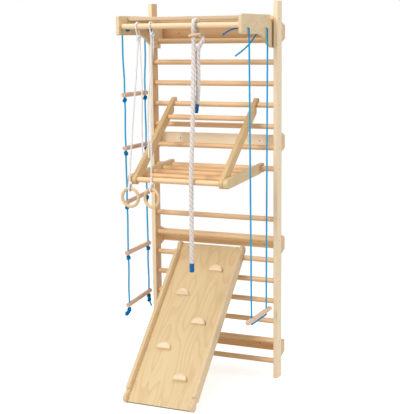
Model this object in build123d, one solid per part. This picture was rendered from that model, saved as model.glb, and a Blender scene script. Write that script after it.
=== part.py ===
"""Wooden wall-bar climbing set for small children, with hook-on table, climbing board and hanging gear.

Millimetres. X runs across the wall, Y towards the wall and Z up. While the pieces are made, Y = 0 is the
front face of the posts; main() then moves every piece so that the origin is below the middle of the set.
"""
from build123d import *
import math
import os

# Wall bars: two posts in halves with round rungs between them
frame_width = 800.0
post_thickness = 25.0
post_depth = 70.0
post_half_height = 1080.0
post_edge_radius = 3.0
rung_diameter = 30.0
rung_pitch = 120.0
rungs_per_half = 8
rung_end_margin = 95.0
socket_depth = 15.0
socket_clearance = 0.2
joint_dowel_diameter = 10.0
joint_dowel_length = 60.0
joint_dowel_spread = 30.0

# Wall fixing: spacers behind the posts and cross boards between them
wall_gap = 52.0
spacer_front_height = 110.0
cross_board_height = 70.0
cross_board_thickness = 18.0
cross_board_near = 295.0
cross_board_far = 910.0
wall_bolt_diameter = 8.0
wall_bolt_spread = 504.0
board_dowel_diameter = 8.0
board_dowel_length = 35.0
board_dowel_spread = 40.0
dowel_clearance = 0.1

# Screws, all of one size
screw_head_diameter = 8.0
screw_head_height = 2.5
screw_shank_diameter = 4.0
screw_length = 40.0
screw_clearance = 0.1

# Hook-on rails and side plates
rail_thickness = 18.0
rail_radius = 27.0
rail_socket_depth = 8.0
rail_edge_radius = 2.0
hook_clearance = 0.3
running_clearance = 0.08
side_gap = 1.0

# Top unit: two side plates, a pull-up bar and a top board
plate_post_gap = 8.0
plate_reach = 480.0
plate_top = 140.0
plate_front_bottom = 36.0
plate_shoulder_gap = 40.0
plate_upper_lobe = 48.0
plate_lower_lobe = 22.0
plate_lower_drop = 41.0
plate_curve_start = 230.0
plate_curve_end = 11.0
plate_curve_upper_pull = 0.32
plate_curve_lower_pull = 0.45
plate_curve_lift = 0.1
plate_corner_radius = 10.0
plate_stop_clearance = 1.0
bar_forward = 443.0
bar_up = 83.0
top_board_depth = 283.0
top_board_thickness = 18.0
top_board_front_gap = 102.0
top_board_drop = 7.0
top_board_screw_inset = 44.0
rope_hole_front = 397.0
rope_hole_rear = 126.0
rope_hole_up = 67.0
rope_hole_clearance = 0.3

# Hook-on table: inclined arms, and a seat that turns on the front bar
table_width = 594.0
table_centre_x = -3.0
table_rail_thickness = 25.0
table_socket_depth = 15.0
table_reach = 487.0
table_drop = 26.0
arm_head_height = 38.0
arm_head_rear = 25.0
arm_head_radius = 14.0
arm_nose = 18.0
arm_nose_drop = 14.0
arm_dowel_from_hook = 115.0
seat_rung_count = 3
seat_tail = 37.0
seat_notch_relief_front = 0.05
seat_notch_relief_rear = 0.25

# Climbing board, hooked on a rung and standing on the floor
slide_length = 1060.0
slide_width = 418.0
slide_centre_x = -27.0
slide_rail_thickness = 20.0
slide_board_thickness = 12.0
slide_groove_depth = 8.0
slide_groove_clearance = 0.1
slide_guard_height = 34.0
slide_under_height = 19.0
slide_neck_lip = 4.0
slide_notch_from_lobe = 28.0
slide_board_end_gap = 4.0
hold_width = 82.0
hold_thickness = 20.0
hold_edge_radius = 4.0
hold_first = 164.0
hold_pitch = 177.0
hold_offsets = (78.0, -78.0, 78.0, -78.0, 78.0)
slide_screw_inset = 110.0
slide_screw_count = 4

# Which rung each hook-on piece uses, counted from the bottom or from the top
slide_rung_number = 5
plate_stop_rung_number = 0
plate_rung_number = 1
arm_rung_number = 4
seat_rung_number = 7

# Climbing rope with its wooden ring
climbing_rope_diameter = 24.0
climbing_rope_x = 90.0
climbing_rope_end = 714.0
climbing_tail_end = 1568.0
climbing_tail_bulge_below = 50.0
climbing_tail_bends = (150.0, 100.0, 35.0)
climbing_fall_bends = (35.0, 80.0, 100.0)
bend_allowance = 0.1
rope_ring_inner = 56.0
rope_ring_tube = 13.0
rope_ring_below_bar = 50.0
rope_ring_aside = 0.5
rope_ring_tilt = 8.0
whipping_length = 55.0
whipping_thickness = 1.0
whipping_clearance = 0.1

# Gym rings on cords
ring_diameter = 117.0
ring_tube = 17.0
ring_centre_height = 1103.0
ring_cord_diameter = 9.0
ring_cord_tail_below_bar = 711.0
ring_cord_tail_bends = (30.0, 20.0)
ring_cord_fall_bends = (20.0, 30.0, 60.0)
ring_cord_hitch_bends = (20.0, 12.0)
ring_strand_gap = 1.0
bar_knot_radius = 13.0
ring_knot_radius = 12.0
ring_knot_above = 27.0
ring_cord_straight = 58.0
left_ring_x = -279.0
left_ring_bar_x = -255.0
left_ring_knot_below_bar = 62.0
left_ring_tail_x = -232.0
left_ring_turn = 0.0
right_ring_x = -155.0
right_ring_bar_x = -173.0
right_ring_knot_below_bar = 44.0
right_ring_tail_x = -194.0
right_ring_turn = -13.5

# Rope ladder and trapeze, on the outer sides of the plates
thin_rope_diameter = 9.0
thin_rope_bend = 8.0
thin_rope_pivot_gap = 0.6
thin_rope_dome_share = 0.85
thin_knot_radius = 9.0
ladder_rung_diameter = 25.0
ladder_rung_overhang = 17.0
ladder_hole_spread = 246.0
ladder_top_rung_height = 1654.0
ladder_pitch = 297.0
ladder_rung_tilts = (0.0, 0.0, 20.0, 8.0, 22.0)
ladder_rope_bend = 60.0
ladder_front_end = 412.0
ladder_rear_end = 393.0
trapeze_bar_diameter = 28.0
trapeze_bar_length = 340.0
trapeze_bar_height = 435.0
trapeze_hole_spread = 226.0
trapeze_under_gap = 4.5
trapeze_under_bend = 8.0
wood_hole_clearance = 0.5

# Loose tails of the trapeze rope: places inwards and down from the knot, and their bends
front_tail_places = ((115.7, 35.0), (55.7, 4.0), (0.0, 0.0))
front_tail_bends = [120.0, 60.0]
rear_tail_places = ((154.7, 151.0), (67.7, 84.0), (23.7, 26.0), (0.0, 0.0))
rear_tail_bends = [120.0, 80.0, 20.0]

# Derived places
rung_radius = rung_diameter / 2
post_inner = frame_width / 2 - post_thickness
post_outer = frame_width / 2
frame_height = 2 * post_half_height
rung_y = post_depth / 2
wall_y = post_depth + wall_gap
hook_radius = rung_radius + hook_clearance
plate_outer = post_inner - plate_post_gap
plate_inner = plate_outer - rail_thickness
seat_outer = table_width / 2
seat_inner = seat_outer - table_rail_thickness
arm_outer = seat_inner - side_gap
arm_inner = arm_outer - table_rail_thickness
thin_rope_radius = thin_rope_diameter / 2
thin_rope_x = plate_outer + thin_rope_bend


def lower_rung_height(number):
    return rung_end_margin + number * rung_pitch


def upper_rung_height(number):
    return frame_height - rung_end_margin - number * rung_pitch


plate_rung_z = upper_rung_height(plate_rung_number)
plate_stop_z = upper_rung_height(plate_stop_rung_number)
arm_rung_z = upper_rung_height(arm_rung_number)
seat_rung_z = upper_rung_height(seat_rung_number)
slide_rung_z = lower_rung_height(slide_rung_number)
bar_y = rung_y - bar_forward
bar_z = plate_rung_z + bar_up
pivot_y = rung_y - table_reach
pivot_z = seat_rung_z - table_drop
rope_hole_ys = (rung_y - rope_hole_front, rung_y - rope_hole_rear)
rope_hole_z = plate_rung_z + rope_hole_up
thin_rope_top = rope_hole_z - thin_rope_bend - thin_rope_radius
cross_board_heights = (
    post_half_height + cross_board_far,
    post_half_height + cross_board_near,
    post_half_height - cross_board_near,
    post_half_height - cross_board_far,
)


# Simple solids

def rod_x(radius, x_start, x_end, y, z):
    return Pos((x_start + x_end) / 2, y, z) * Rot(0, 90, 0) * Cylinder(radius, abs(x_end - x_start))


def rod_y(radius, y_start, y_end, x, z):
    return Pos(x, (y_start + y_end) / 2, z) * Rot(90, 0, 0) * Cylinder(radius, abs(y_end - y_start))


def rod_z(radius, z_start, z_end, x, y):
    return Pos(x, y, (z_start + z_end) / 2) * Cylinder(radius, abs(z_end - z_start))


def block(x_ends, y_ends, z_ends):
    sizes = [abs(ends[1] - ends[0]) for ends in (x_ends, y_ends, z_ends)]
    middles = [(ends[0] + ends[1]) / 2 for ends in (x_ends, y_ends, z_ends)]
    return Pos(*middles) * Box(*sizes)


def plate(outline, x_low, thickness):
    """A flat outline drawn in Y and Z, given a thickness along X."""
    return extrude(Plane.YZ.offset(x_low) * outline, thickness)


def polygon(*points):
    return make_face(Polyline(*points, close=True))


def soften(body, radius):
    """Rounds the edges of the two broad faces of a side plate or rail."""
    faces = body.faces().filter_by(Axis.X).sort_by(Axis.X)
    return fillet(faces[0].edges() + faces[-1].edges(), radius)


# Screws and their holes; inward is +1 or -1 along X

def screw(face_x, inward, y, z):
    neck_x = face_x + inward * screw_head_height
    head = rod_x(screw_head_diameter / 2, face_x, neck_x, y, z)
    shank = rod_x(screw_shank_diameter / 2, neck_x, face_x + inward * screw_length, y, z)
    return head + shank


def screw_hole(face_x, inward, y, z):
    neck_x = face_x + inward * screw_head_height
    tip_x = face_x + inward * (screw_length + screw_clearance)
    head = rod_x(screw_head_diameter / 2 + screw_clearance, face_x - inward, neck_x, y, z)
    shank = rod_x(screw_shank_diameter / 2 + screw_clearance, face_x, tip_x, y, z)
    return head + shank


# Wall bars

def rung_heights():
    lower = [lower_rung_height(number) for number in range(rungs_per_half)]
    upper = [upper_rung_height(number) for number in range(rungs_per_half)]
    return lower + upper[::-1]


def make_post(side, is_upper):
    base = post_half_height if is_upper else 0.0
    top = base + post_half_height
    body = block((side * post_inner, side * post_outer), (0, post_depth), (base, top))
    body = fillet(body.edges().filter_by(Axis.Z), post_edge_radius)
    for height in rung_heights():
        if base < height < top:
            socket_end = side * (post_inner + socket_depth)
            body -= rod_x(rung_radius + socket_clearance, side * (post_inner - 1), socket_end, rung_y, height)
            body -= screw_hole(side * post_outer, -side, rung_y, height)
    for dowel in joint_dowel_places(side):
        body -= rod_z(joint_dowel_diameter / 2 + dowel_clearance, *joint_dowel_ends(dowel_clearance), *dowel)
    return body


def joint_dowel_places(side):
    x = side * (post_inner + post_outer) / 2
    return [(x, rung_y - joint_dowel_spread / 2), (x, rung_y + joint_dowel_spread / 2)]


def joint_dowel_ends(spare):
    half = joint_dowel_length / 2 + spare
    return post_half_height - half, post_half_height + half


def make_rung(height):
    reach = post_inner + socket_depth - socket_clearance
    body = rod_x(rung_radius, -reach, reach, rung_y, height)
    for side in (-1, 1):
        body -= screw_hole(side * post_outer, -side, rung_y, height)
    return body


def make_rung_screws():
    return [screw(side * post_outer, -side, rung_y, z) for side in (-1, 1) for z in rung_heights()]


def board_dowel_places(side, height):
    x_ends = [
        side * (post_inner + socket_depth),
        side * (post_inner + socket_depth - board_dowel_length),
    ]
    y = wall_y - cross_board_thickness / 2
    return [(x_ends, y, height + part * board_dowel_spread / 2) for part in (-1, 1)]


def board_dowel_hole(x_ends, y, z):
    low, high = sorted(x_ends)
    radius = board_dowel_diameter / 2 + dowel_clearance
    return rod_x(radius, low - dowel_clearance, high + dowel_clearance, y, z)


def make_spacer(side, height):
    """Tapers towards the wall; the lowest one keeps a square upper edge."""
    half_front = spacer_front_height / 2
    half_rear = cross_board_height / 2
    upper_front = half_rear if height == cross_board_heights[-1] else half_front
    outline = polygon(
        (post_depth, height - half_front),
        (wall_y, height - half_rear),
        (wall_y, height + half_rear),
        (post_depth, height + upper_front),
    )
    body = plate(outline, min(side * post_inner, side * post_outer), post_thickness)
    for place in board_dowel_places(side, height):
        body -= board_dowel_hole(*place)
    return body


def make_cross_board(height):
    half = cross_board_height / 2
    y_ends = (wall_y - cross_board_thickness, wall_y)
    body = block((-post_inner, post_inner), y_ends, (height - half, height + half))
    for side in (-1, 1):
        x = side * wall_bolt_spread / 2
        body -= rod_y(wall_bolt_diameter / 2, y_ends[0] - 1, y_ends[1] + 1, x, height)
        for place in board_dowel_places(side, height):
            body -= board_dowel_hole(*place)
    return body


def make_joint_dowels():
    dowels = []
    for side in (-1, 1):
        for place in joint_dowel_places(side):
            dowels.append(rod_z(joint_dowel_diameter / 2, *joint_dowel_ends(0), *place))
        for height in cross_board_heights:
            for x_ends, y, z in board_dowel_places(side, height):
                dowels.append(rod_x(board_dowel_diameter / 2, *x_ends, y, z))
    return dowels


# Top unit

def plate_outline():
    front = rung_y - plate_reach
    top = plate_rung_z + plate_top
    bottom = plate_rung_z + plate_front_bottom
    low = plate_rung_z - plate_lower_drop
    shoulder = rung_y - rung_radius - plate_shoulder_gap
    lobe_top = plate_stop_z - rung_radius - plate_stop_clearance
    upper_rear = rung_y + plate_upper_lobe
    lower_rear = rung_y + plate_lower_lobe
    curve_start = (rung_y - plate_curve_start, bottom)
    curve_end = (rung_y - plate_curve_end, low)
    curve_length = curve_end[0] - curve_start[0]
    upper_pull = (curve_start[0] + plate_curve_upper_pull * curve_length, bottom)
    lower_pull = (
        curve_end[0] - plate_curve_lower_pull * curve_length,
        low + plate_curve_lift * (bottom - low),
    )
    edges = Polyline(
        curve_start,
        (front, bottom),
        (front, top),
        (shoulder, top),
        (shoulder, lobe_top),
        (upper_rear, lobe_top),
        (upper_rear, plate_rung_z),
        (lower_rear, plate_rung_z),
        (lower_rear, low),
        curve_end,
    ) + Bezier(curve_end, lower_pull, upper_pull, curve_start)
    face = make_face(edges)
    front_corners = face.vertices().sort_by(Axis.X)[:2]
    face = fillet(front_corners, plate_corner_radius)
    slot = Pos(rung_y, plate_rung_z) * Circle(hook_radius)
    mouth = Rectangle(plate_upper_lobe + 1, 2 * hook_radius)
    slot += Pos(rung_y + plate_upper_lobe / 2, plate_rung_z) * mouth
    return face - slot


def top_board_places():
    front = rung_y - plate_reach + top_board_front_gap
    top = plate_rung_z + plate_top - top_board_drop
    return (front, front + top_board_depth), (top - top_board_thickness, top)


def plate_screw_places():
    y_ends, z_ends = top_board_places()
    middle = (z_ends[0] + z_ends[1]) / 2
    return [
        (bar_y, bar_z),
        (y_ends[0] + top_board_screw_inset, middle),
        (y_ends[1] - top_board_screw_inset, middle),
    ]


def make_plate(side):
    body = plate(plate_outline(), min(side * plate_inner, side * plate_outer), rail_thickness)
    body = soften(body, rail_edge_radius)
    socket_end = side * (plate_inner + rail_socket_depth)
    body -= rod_x(rung_radius + socket_clearance, side * (plate_inner - 1), socket_end, bar_y, bar_z)
    for y in rope_hole_ys:
        hole_radius = thin_rope_radius + rope_hole_clearance
        body -= rod_x(hole_radius, side * (plate_inner - 1), side * (plate_outer + 1), y, rope_hole_z)
    for y, z in plate_screw_places():
        body -= screw_hole(side * plate_outer, -side, y, z)
    return body


def make_pull_up_bar():
    reach = plate_inner + rail_socket_depth - socket_clearance
    body = rod_x(rung_radius, -reach, reach, bar_y, bar_z)
    for side in (-1, 1):
        body -= screw_hole(side * plate_outer, -side, bar_y, bar_z)
    return body


def make_top_board():
    y_ends, z_ends = top_board_places()
    body = block((-plate_inner, plate_inner), y_ends, z_ends)
    body = fillet(body.edges().filter_by(Axis.X), rail_edge_radius)
    for side in (-1, 1):
        for y, z in plate_screw_places()[1:]:
            body -= screw_hole(side * plate_outer, -side, y, z)
    return body


def make_plate_screws():
    return [screw(side * plate_outer, -side, y, z) for side in (-1, 1) for y, z in plate_screw_places()]


# Hook-on table

arm_angle = math.atan2(arm_rung_z - pivot_z, rung_y - pivot_y)
seat_angle = math.atan2(seat_rung_z - pivot_z, rung_y - pivot_y)
seat_span = math.hypot(seat_rung_z - pivot_z, rung_y - pivot_y)


def arm_outline():
    along = (math.cos(arm_angle), math.sin(arm_angle))
    up = (-math.sin(arm_angle), math.cos(arm_angle))
    apex = arm_rung_z + arm_head_height
    nose_y = rung_y + hook_radius + arm_nose
    nose_z = arm_rung_z - arm_nose_drop
    front_start = (pivot_y + rail_radius * up[0], pivot_z + rail_radius * up[1])
    run = (apex - front_start[1]) / along[1]
    front_end = (front_start[0] + run * along[0], apex)
    low_start = (pivot_y - rail_radius * up[0], pivot_z - rail_radius * up[1])
    low_end = (rung_y, low_start[1] + (rung_y - low_start[0]) * math.tan(arm_angle))
    face = polygon(
        front_start,
        front_end,
        (rung_y + arm_head_rear, apex),
        (nose_y, nose_z),
        (rung_y, nose_z),
        low_end,
        low_start,
    )
    corners = face.vertices()
    head = corners.sort_by(Axis.Y)[-2:] + corners.sort_by(Axis.X)[-1:]
    face = fillet(head, arm_head_radius)
    face += Pos(pivot_y, pivot_z) * Circle(rail_radius)
    face -= Pos(rung_y, arm_rung_z) * Circle(hook_radius)
    drop = 3 * rail_radius
    return face - Pos(rung_y, arm_rung_z - drop / 2) * Rectangle(2 * hook_radius, drop)


def arm_dowel_place():
    y = rung_y - arm_dowel_from_hook * math.cos(arm_angle)
    z = arm_rung_z - arm_dowel_from_hook * math.sin(arm_angle)
    return y, z


def make_arm(side):
    body = plate(arm_outline(), min(side * arm_inner, side * arm_outer), table_rail_thickness)
    body = soften(body, rail_edge_radius)
    x_ends = (side * (arm_inner - 1), side * (arm_outer + 1))
    body -= rod_x(rung_radius + running_clearance, *x_ends, pivot_y, pivot_z)
    socket_end = side * (arm_inner + table_socket_depth)
    body -= rod_x(rung_radius + socket_clearance, x_ends[0], socket_end, *arm_dowel_place())
    return body - screw_hole(side * arm_outer, -side, *arm_dowel_place())


def make_arm_dowel():
    reach = arm_inner + table_socket_depth - socket_clearance
    body = rod_x(rung_radius, -reach, reach, *arm_dowel_place())
    for side in (-1, 1):
        body -= screw_hole(side * arm_outer, -side, *arm_dowel_place())
    return body


def make_arm_screws():
    return [screw(side * arm_outer, -side, *arm_dowel_place()) for side in (-1, 1)]


def seat_place(share):
    """A point on the line from the front bar to the rung that carries the seat."""
    run = share * seat_span
    return pivot_y + run * math.cos(seat_angle), pivot_z + run * math.sin(seat_angle)


def seat_rung_places():
    return [seat_place((number + 1) / (seat_rung_count + 1)) for number in range(seat_rung_count)]


def make_seat_rail(side):
    length = seat_span + seat_tail
    bar = Pos(length / 2, 0) * Rectangle(length, 2 * rail_radius)
    bar = fillet(bar.vertices().sort_by(Axis.X)[-2:], plate_corner_radius)
    drop = 2 * rail_radius
    notch = polygon(
        (-hook_radius, 0),
        (hook_radius, 0),
        (hook_radius + seat_notch_relief_rear * drop, -drop),
        (-hook_radius - seat_notch_relief_front * drop, -drop),
    )
    face = bar + Circle(rail_radius)
    face -= Pos(seat_span, 0) * Circle(hook_radius)
    face -= Pos(seat_span, 0) * notch
    face = Pos(pivot_y, pivot_z) * Rot(0, 0, math.degrees(seat_angle)) * face
    body = plate(face, min(side * seat_inner, side * seat_outer), table_rail_thickness)
    body = soften(body, rail_edge_radius)
    for y, z in [(pivot_y, pivot_z)] + seat_rung_places():
        socket_end = side * (seat_inner + table_socket_depth)
        body -= rod_x(rung_radius + socket_clearance, side * (seat_inner - 1), socket_end, y, z)
        body -= screw_hole(side * seat_outer, -side, y, z)
    return body


def make_seat_rod(y, z):
    reach = seat_inner + table_socket_depth - socket_clearance
    body = rod_x(rung_radius, -reach, reach, y, z)
    for side in (-1, 1):
        body -= screw_hole(side * seat_outer, -side, y, z)
    return body


def make_seat_screws():
    places = [(pivot_y, pivot_z)] + seat_rung_places()
    return [screw(side * seat_outer, -side, y, z) for side in (-1, 1) for y, z in places]


# Climbing board, made flat with the rung's centre as its zero, then tilted about the rung

slide_notch_v = -(slide_neck_lip + hook_radius)
slide_middle_v = (slide_board_thickness + slide_guard_height - slide_under_height) / 2
slide_notch_u = slide_length - rail_radius - slide_notch_from_lobe
slide_run = slide_length - 2 * rail_radius - slide_notch_from_lobe
slide_rise = slide_middle_v - slide_notch_v
slide_angle = math.asin((slide_rung_z - rail_radius) / math.hypot(slide_run, slide_rise))
slide_angle += math.atan2(slide_rise, slide_run)
slide_half_inner = slide_width / 2 - slide_rail_thickness


def tilt(body):
    place = Pos(slide_centre_x, rung_y, slide_rung_z) * Rot(math.degrees(slide_angle), 0, 0)
    return place * Pos(0, -slide_notch_u, -slide_notch_v) * body


def slide_rail_outline():
    """Guard rail with a narrow neck and a round knob at both ends, the same on both edges."""
    neck_low = -slide_neck_lip
    neck_high = 2 * slide_middle_v + slide_neck_lip
    main_start = slide_length - slide_notch_u + hook_radius
    main_length = slide_length - 2 * main_start
    main_height = slide_under_height + slide_board_thickness + slide_guard_height
    middle = (slide_length / 2, slide_middle_v)
    main = Pos(*middle) * RectangleRounded(main_length, main_height, rail_edge_radius)
    neck = Pos(*middle) * Rectangle(slide_length - 2 * rail_radius, neck_high - neck_low)
    face = main + neck
    for end in (rail_radius, slide_length - rail_radius):
        face += Pos(end, slide_middle_v) * Circle(rail_radius)
    for u in (slide_length - slide_notch_u, slide_notch_u):
        for v in (slide_notch_v, 2 * slide_middle_v - slide_notch_v):
            face -= Pos(u, v) * Circle(hook_radius)
    return face


def slide_screw_places():
    step = (slide_length - 2 * slide_screw_inset) / (slide_screw_count - 1)
    v = slide_board_thickness / 2
    return [(slide_screw_inset + number * step, v) for number in range(slide_screw_count)]


def make_slide_rail(side):
    outer = side * slide_width / 2
    inner = side * slide_half_inner
    body = plate(slide_rail_outline(), min(inner, outer), slide_rail_thickness)
    body = soften(body, rail_edge_radius)
    groove_floor = inner + side * slide_groove_depth
    groove_heights = (-slide_groove_clearance, slide_board_thickness + slide_groove_clearance)
    body -= block((inner - side, groove_floor), (-1, slide_length + 1), groove_heights)
    for u, v in slide_screw_places():
        body -= screw_hole(outer, -side, u, v)
    return tilt(body)


def make_slide_board():
    reach = slide_half_inner + slide_groove_depth - slide_groove_clearance
    u_ends = (slide_board_end_gap, slide_length - slide_board_end_gap)
    body = block((-reach, reach), u_ends, (0, slide_board_thickness))
    for side in (-1, 1):
        for u, v in slide_screw_places():
            body -= screw_hole(side * slide_width / 2, -side, u, v)
    return tilt(body)


def make_slide_screws():
    screws = []
    for side in (-1, 1):
        for u, v in slide_screw_places():
            screws.append(tilt(screw(side * slide_width / 2, -side, u, v)))
    return screws


def make_holds():
    holds = []
    radius = hold_width / 2
    for number, x in enumerate(hold_offsets):
        u = hold_first + number * hold_pitch
        arc = ThreePointArc((-radius, 0), (0, radius), (radius, 0))
        body = extrude(make_face(arc + Line((radius, 0), (-radius, 0))), hold_thickness)
        top = body.faces().sort_by(Axis.Z)[-1]
        body = fillet(top.edges().filter_by(GeomType.CIRCLE), hold_edge_radius)
        body = fillet(body.edges().group_by(Axis.Z)[-1], hold_edge_radius)
        holds.append(tilt(Pos(x, u, slide_board_thickness) * body))
    return holds


# Ropes and cords

def tube(points, radii, radius):
    path = FilletPolyline(*points, radius=radii)
    profile = Plane(origin=path @ 0, z_dir=path % 0) * Circle(radius)
    body = sweep(profile, path=path)
    share = body.volume / (math.pi * radius**2 * path.length)
    print(f"tube length {path.length:.0f}, least bend {min(radii):.0f}, volume share {share:.4f}")
    return body


def rod_between(start, end, radius):
    axis = Vector(*end) - Vector(*start)
    return extrude(Plane(origin=start, z_dir=axis) * Circle(radius), axis.length)


def make_climbing_rope():
    radius = climbing_rope_diameter / 2
    wrap = rung_radius + radius + hook_clearance
    lean = pivot_y - rung_radius - radius - hook_clearance
    ring_z = bar_z - rope_ring_below_bar
    x = climbing_rope_x
    points = [
        (x + 10, bar_y - 8, climbing_tail_end),
        (x + 12, bar_y + 4, ring_z - climbing_tail_bulge_below),
        (x + 6, bar_y + 13, ring_z + 2),
        (x, bar_y + wrap, bar_z - 9),
        (x, bar_y + wrap, bar_z + wrap),
        (x, bar_y - wrap, bar_z + wrap),
        (x, bar_y - wrap, bar_z - 9),
        (x - 5, bar_y - 13, ring_z + 2),
        (x - 3, lean, pivot_z),
        (x - 3, lean - 4, climbing_rope_end),
    ]
    over_bar = [wrap - bend_allowance] * 2
    return tube(points, [*climbing_tail_bends, *over_bar, *climbing_fall_bends], radius), points


def make_whippings(points):
    radius = climbing_rope_diameter / 2
    sleeves = []
    for end, beyond in ((points[0], points[1]), (points[-1], points[-2])):
        along = (Vector(*beyond) - Vector(*end)).normalized()
        top = Vector(*end) + along * whipping_length
        outer = rod_between(end, tuple(top), radius + whipping_clearance + whipping_thickness)
        sleeves.append(outer - rod_between(end, tuple(top), radius + whipping_clearance))
    return sleeves


def make_rope_ring():
    core = (rope_ring_inner + rope_ring_tube) / 2
    place = Pos(climbing_rope_x + rope_ring_aside, bar_y, bar_z - rope_ring_below_bar)
    return place * Rot(0, -rope_ring_tilt, 0) * Torus(core, rope_ring_tube / 2)


def ring_core_radius():
    return (ring_diameter - ring_tube) / 2


def make_ring_cord(bar_x, knot_below, tail_x, ring_x, support_radius, turn):
    """One cord: tail, loop over the bar, down in front of the table, loop through the ring."""
    radius = ring_cord_diameter / 2
    wrap = rung_radius + radius + hook_clearance
    grip = ring_tube / 2 + radius + hook_clearance
    ring_y = ring_plane_y(support_radius)
    ring_top = ring_centre_height + ring_core_radius()
    back = Vector(-math.sin(math.radians(turn)), math.cos(math.radians(turn)), 0)
    knot_z = bar_z - knot_below
    strand = radius + ring_strand_gap / 2

    def near_ring(offset, height):
        place = Vector(ring_x, ring_y, ring_top + height) + back * offset
        return place.X, place.Y, place.Z

    knot_x = bar_x + 6
    points = [
        (tail_x, bar_y - 14, bar_z - ring_cord_tail_below_bar),
        (knot_x + 3, bar_y + 4, knot_z - 8),
        (bar_x, bar_y + wrap, bar_z - 8),
        (bar_x, bar_y + wrap, bar_z + wrap),
        (bar_x, bar_y - wrap, bar_z + wrap),
        (bar_x, bar_y - wrap, bar_z - 8),
        (knot_x - 3, bar_y - 4, knot_z - 8),
        (ring_x, ring_y, max(pivot_z + 2, ring_top + ring_cord_straight)),
        near_ring(-strand, ring_knot_above),
        near_ring(-grip, 4),
        near_ring(-grip, -grip),
        near_ring(grip, -grip),
        near_ring(grip, 4),
        near_ring(strand, ring_knot_above),
    ]
    over_bar = [wrap - bend_allowance] * 2
    round_ring = [grip - bend_allowance] * 2
    hitch_top, hitch_side = ring_cord_hitch_bends
    radii = [*ring_cord_tail_bends, *over_bar, *ring_cord_fall_bends]
    radii += [hitch_top, hitch_side, *round_ring, hitch_side]
    body = tube(points, radii, radius)
    # The balls lie on their sides, so that no strand runs through a pole
    aside = Rot(90, 0, 0)
    body += Pos(knot_x, bar_y, knot_z) * aside * Sphere(bar_knot_radius)
    return body + Pos(*near_ring(0, ring_knot_above)) * aside * Sphere(ring_knot_radius)


def ring_plane_y(support_radius):
    """The cord, its knot or a ring that hangs so high lies against a rail's round end or the front bar."""
    beside = support_radius + hook_clearance
    reach = beside + ring_cord_diameter / 2
    knot_below = pivot_z - ring_centre_height - ring_core_radius() - ring_knot_above
    if abs(knot_below) < beside + ring_knot_radius:
        reach = max(reach, math.sqrt((beside + ring_knot_radius) ** 2 - knot_below**2))
    if ring_centre_height + ring_diameter / 2 > pivot_z - support_radius:
        reach = max(reach, beside + ring_tube / 2)
    return pivot_y - reach


def make_gym_ring(ring_x, support_radius, turn):
    place = Pos(ring_x, ring_plane_y(support_radius), ring_centre_height) * Rot(0, 0, turn) * Rot(90, 0, 0)
    return place * Torus(ring_core_radius(), ring_tube / 2)


def ladder_rung_heights():
    return [ladder_top_rung_height - number * ladder_pitch for number in range(len(ladder_rung_tilts))]


def holes_about_middle(spread):
    """Places of the two rope holes in a hanging bar, midway under the holes in the plate."""
    middle = (rope_hole_ys[0] + rope_hole_ys[1]) / 2
    return middle - spread / 2, middle + spread / 2


def make_ladder_rung(height, tilt_drop):
    """A round rung that hangs lower at its front hole than at its rear one by tilt_drop."""
    front, rear = holes_about_middle(ladder_hole_spread)
    beyond = ladder_rung_overhang * tilt_drop / ladder_hole_spread
    start = (-thin_rope_x, front - ladder_rung_overhang, height - tilt_drop / 2 - beyond)
    end = (-thin_rope_x, rear + ladder_rung_overhang, height + tilt_drop / 2 + beyond)
    body = rod_between(start, end, ladder_rung_diameter / 2)
    reach = ladder_rung_diameter + tilt_drop
    for y in (front, rear):
        hole_radius = thin_rope_radius + wood_hole_clearance
        body -= rod_z(hole_radius, height - reach, height + reach, -thin_rope_x, y)
    return body


def round_rope_top(body):
    """A domed end, so that the rope can swing below the stretch in the plate."""
    return fillet(body.edges().sort_by(Axis.Z)[-1:], thin_rope_dome_share * thin_rope_radius)


def make_ladder_rope(top_y, y, end_z, tilt_share):
    """From the plate's hole to the first rung's hole, then straight down."""
    points = [
        (-thin_rope_x, top_y, thin_rope_top - thin_rope_pivot_gap),
        (-thin_rope_x, y, ladder_top_rung_height + ladder_rung_diameter),
        (-thin_rope_x, y, end_z),
    ]
    body = tube(points, [ladder_rope_bend], thin_rope_radius)
    body = round_rope_top(body)
    for height, tilt_drop in zip(ladder_rung_heights(), ladder_rung_tilts):
        lean = math.hypot(1, tilt_drop / ladder_hole_spread)
        below = (ladder_rung_diameter / 2 + thin_knot_radius + hook_clearance) * lean
        knot_z = height + tilt_share * tilt_drop - below
        body += Pos(-thin_rope_x, y, knot_z) * Sphere(thin_knot_radius)
    return body


def make_trapeze_rope():
    front, rear = holes_about_middle(trapeze_hole_spread)
    bar_low = trapeze_bar_height - trapeze_bar_diameter / 2
    under = bar_low - trapeze_under_gap - thin_rope_radius
    top = thin_rope_top - thin_rope_pivot_gap
    beyond = (trapeze_bar_height - under) / (top - trapeze_bar_height)
    points = [
        (thin_rope_x, rope_hole_ys[0], top),
        (thin_rope_x, front + beyond * (front - rope_hole_ys[0]), under),
        (thin_rope_x, rear + beyond * (rear - rope_hole_ys[1]), under),
        (thin_rope_x, rope_hole_ys[1], top),
    ]
    body = tube(points, [trapeze_under_bend, trapeze_under_bend], thin_rope_radius)
    ends = body.edges().sort_by(Axis.Z)[-2:]
    return fillet(ends, thin_rope_dome_share * thin_rope_radius)


def make_trapeze_bar():
    middle = (rope_hole_ys[0] + rope_hole_ys[1]) / 2
    y_ends = (middle - trapeze_bar_length / 2, middle + trapeze_bar_length / 2)
    body = rod_y(trapeze_bar_diameter / 2, *y_ends, thin_rope_x, trapeze_bar_height)
    body = fillet(body.edges(), rail_edge_radius)
    reach = trapeze_bar_diameter
    for y in holes_about_middle(trapeze_hole_spread):
        z_ends = (trapeze_bar_height - reach, trapeze_bar_height + reach)
        body -= rod_z(thin_rope_radius + wood_hole_clearance, *z_ends, thin_rope_x, y)
    return body


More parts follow.
